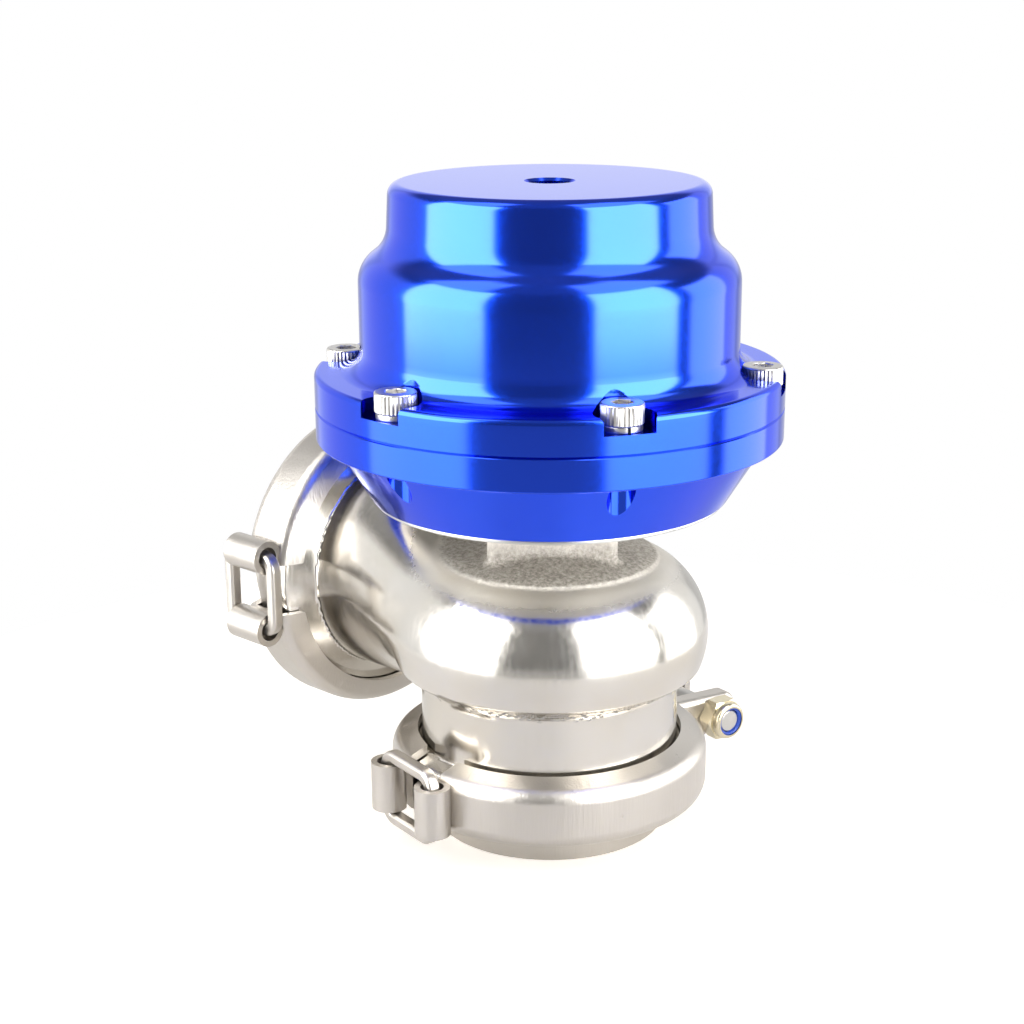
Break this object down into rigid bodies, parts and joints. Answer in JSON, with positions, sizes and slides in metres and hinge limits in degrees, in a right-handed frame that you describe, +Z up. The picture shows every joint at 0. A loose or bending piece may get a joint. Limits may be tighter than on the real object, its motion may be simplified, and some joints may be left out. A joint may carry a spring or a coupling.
{
  "type": "turbo wastegate",
  "caption": "External turbo wastegate with a blue diaphragm housing, a cast valve body with a side outlet, and V-band clamps on both ports.",
  "frame": {"origin": "on the valve axis, at the lower face of the inlet weld flange", "axes": "+Z up the valve axis to the spring cover; the outlet points along -X"},
  "size_m": [0.1055, 0.0922, 0.1252],
  "materials": {
    "blue_anodised": "bright anodised blue, turned and polished before anodising",
    "plated_steel": "bright zinc-nickel plated fastener steel",
    "polished_stainless": "cast stainless, ground and polished",
    "satin_stainless": "pressed stainless, fine brushed",
    "plate_steel": "bright stamped sheet",
    "spring_steel": "shot-peened spring wire, oil tempered",
    "valve_steel": "ground heat-resisting steel",
    "bronze": "machined bronze bush",
    "diaphragm_rubber": "fabric-reinforced silicone",
    "seal_ptfe": "filled PTFE",
    "turned_aluminium": "turned aluminium, bare",
    "nut_plating": "yellowish passivated lock nut",
    "blue_nylon": "moulded nylon ring"
  },
  "bodies": {
    "inlet_link": {"inlet_clamp_link": "satin_stainless"},
    "inlet_half": {"inlet_clamp_half_b": "satin_stainless"},
    "inlet_bolt": {"inlet_clamp_bolt": "plated_steel"},
    "inlet_nut": {"inlet_clamp_nut": "nut_plating", "inlet_nut_insert": "blue_nylon"},
    "outlet_link": {"outlet_clamp_link": "satin_stainless"},
    "outlet_half": {"outlet_clamp_half_a": "satin_stainless"},
    "outlet_bolt": {"outlet_clamp_bolt": "plated_steel"},
    "outlet_nut": {"outlet_clamp_nut": "nut_plating", "outlet_nut_insert": "blue_nylon"},
    "root": {"top_cover": "blue_anodised", "lower_housing": "blue_anodised", "cover_screws": "plated_steel", "cover_washers": "plated_steel", "diaphragm": "diaphragm_rubber", "outer_spring": "spring_steel", "inner_spring": "spring_steel", "guide_bush": "bronze", "stem_seal": "seal_ptfe", "heat_plate": "plate_steel", "valve_body": "polished_stainless", "housing_bolts": "plated_steel", "valve_seat": "valve_steel", "inlet_weld_flange": "satin_stainless", "outlet_weld_flange": "satin_stainless", "inlet_clamp_half_a": "satin_stainless", "outlet_clamp_half_b": "satin_stainless"},
    "valve_group": {"valve": "valve_steel", "retainer_plate": "turned_aluminium", "piston_cup": "turned_aluminium", "stem_nut": "plated_steel"}
  },
  "joints": [
    {"name": "valve_lift", "type": "slide", "parent": "root", "child": "valve_group", "axis": [0, 0, 1], "range_m": [0, 0.01], "stiffness_N_per_m": 15000, "springref_m": -0.0146, "deforming": ["outer_spring", "inner_spring", "diaphragm"]},
    {"name": "inlet_link_swing", "type": "hinge", "parent": "root", "child": "inlet_link", "pos_m": [0.00109, -0.03373, 0.01175], "axis": [0, 0, 1], "range_deg": [0, 0.8]},
    {"name": "inlet_half_swing", "type": "hinge", "parent": "inlet_link", "child": "inlet_half", "pos_m": [-0.01364, -0.03086, 0.01175], "axis": [0, 0, 1], "range_deg": [0, 1.6]},
    {"name": "inlet_bolt_slide", "type": "slide", "parent": "root", "child": "inlet_bolt", "axis": [-0.9816, 0.1908, 0], "range_m": [0, 0.0034]},
    {"name": "inlet_nut_turn", "type": "hinge", "parent": "root", "child": "inlet_nut", "pos_m": [0.0146, 0.03842, 0.01175], "axis": [0.9816, -0.1908, 0], "continuous": true},
    {"name": "outlet_link_swing", "type": "hinge", "parent": "root", "child": "outlet_link", "pos_m": [-0.0497, -0.0329, 0.0359], "axis": [1, 0, 0], "range_deg": [0, 0.8]},
    {"name": "outlet_half_swing", "type": "hinge", "parent": "outlet_link", "child": "outlet_half", "pos_m": [-0.0497, -0.0329, 0.0509], "axis": [1, 0, 0], "range_deg": [0, 1.6]},
    {"name": "outlet_nut_slide", "type": "slide", "parent": "root", "child": "outlet_nut", "axis": [0, 0, 1], "range_m": [0, 0.0034]},
    {"name": "outlet_bolt_turn", "type": "hinge", "parent": "root", "child": "outlet_bolt", "pos_m": [-0.0497, 0.0405, 0.0364], "axis": [0, 0, -1], "continuous": true}
  ],
  "couplings": [
    {"joint": "inlet_link_swing", "follows": "inlet_half_swing", "ratio": 0.5},
    {"joint": "inlet_bolt_slide", "follows": "inlet_half_swing", "m_per_rad": 0.1195},
    {"joint": "outlet_link_swing", "follows": "outlet_half_swing", "ratio": 0.5},
    {"joint": "outlet_nut_slide", "follows": "outlet_half_swing", "m_per_rad": 0.1195}
  ]
}
